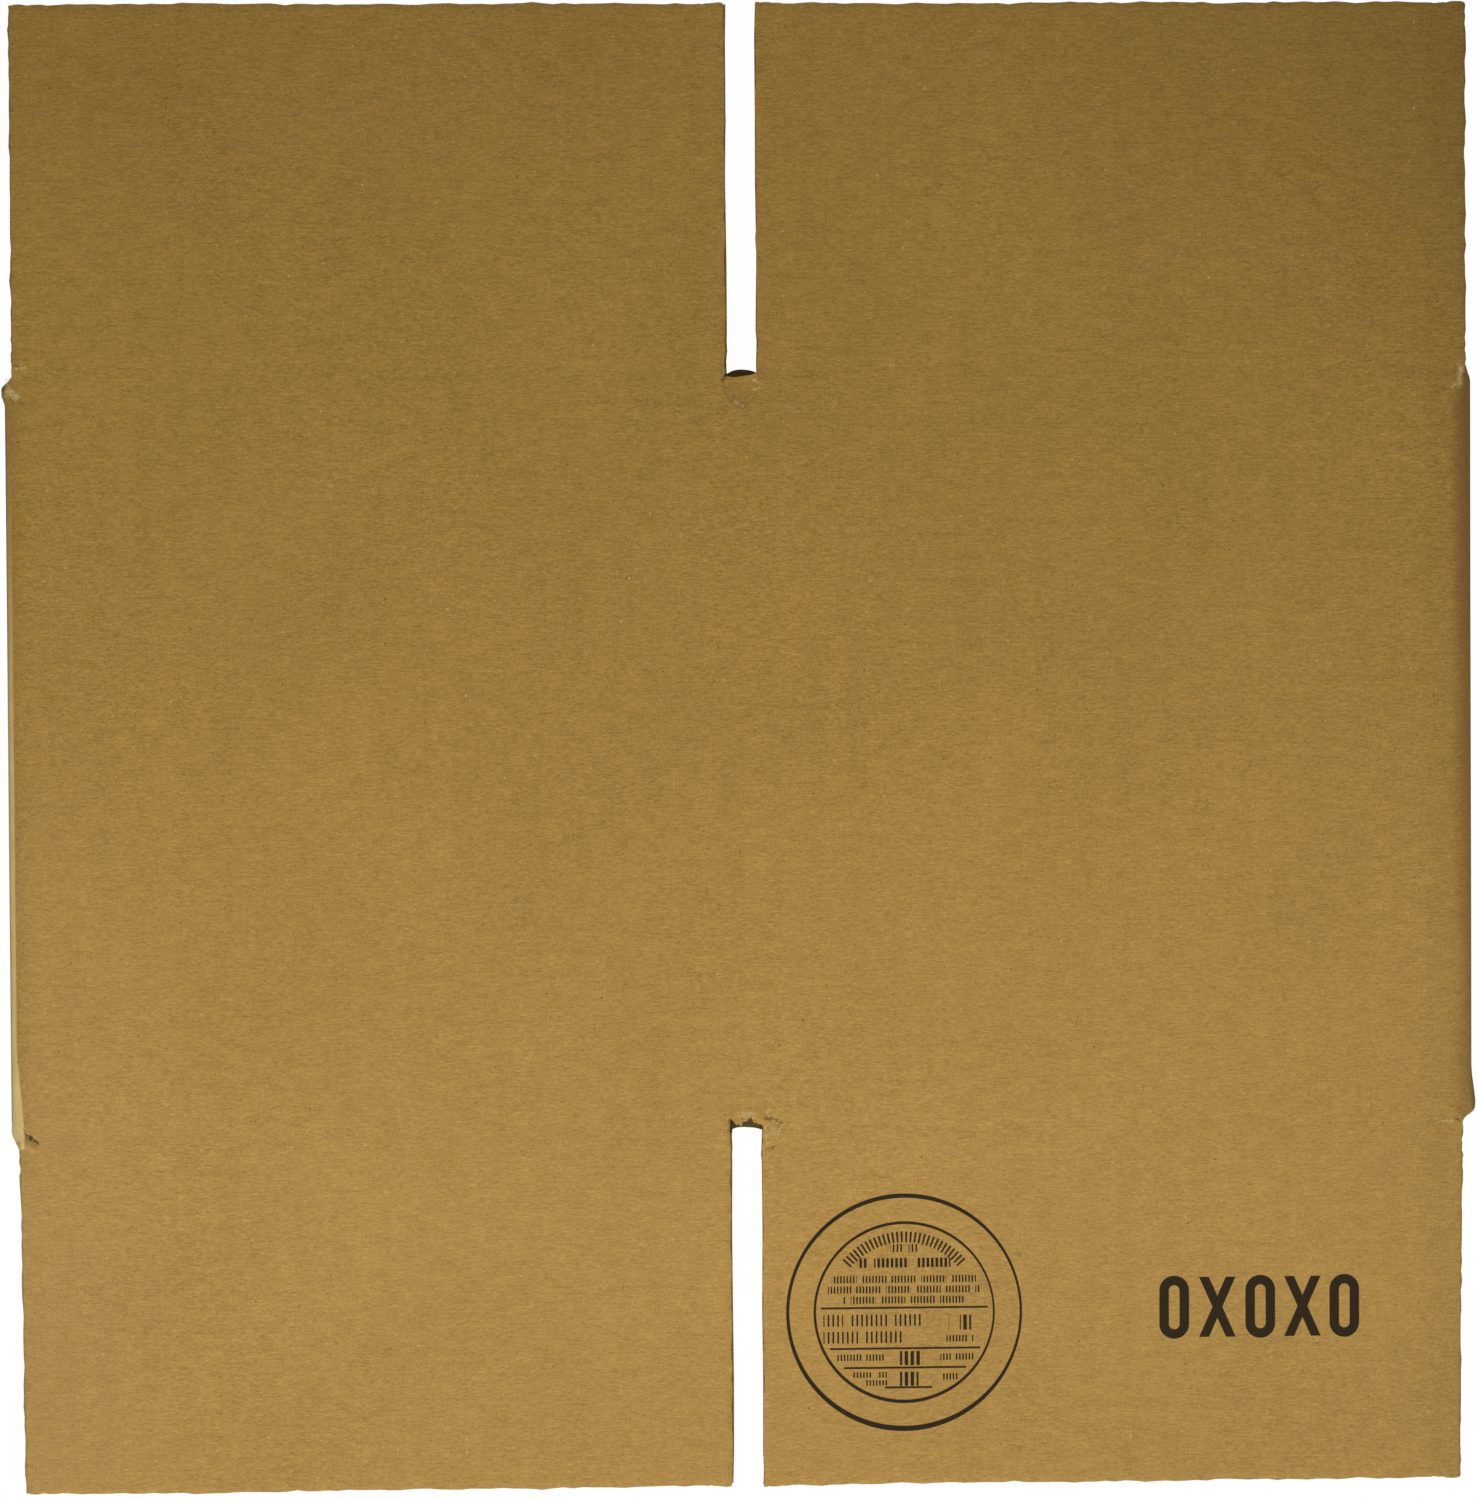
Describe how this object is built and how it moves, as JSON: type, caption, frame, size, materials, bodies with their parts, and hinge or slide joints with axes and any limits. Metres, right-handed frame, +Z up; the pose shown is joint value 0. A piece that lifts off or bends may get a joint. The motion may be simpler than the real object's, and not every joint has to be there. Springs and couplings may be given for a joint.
{
  "type": "flattened cardboard box",
  "caption": "Slotted shipping box of corrugated board, folded flat with its flaps in line with the panels, a slot between the flaps at each end and a glued seam behind.",
  "frame": {"origin": "middle of the underside of the folded box, on the surface it lies on", "axes": "+Z is up through the two layers, the printed face up; +Y runs along the flutes, towards the flaps without print; +X runs across the flutes, towards the panel with print"},
  "size_m": [0.31, 0.3132, 0.01],
  "materials": {
    "board": "matte brown kraft liner with fine fibre, dark brown print"
  },
  "bodies": {
    "root": {"flat_box": "board"}
  },
  "joints": []
}
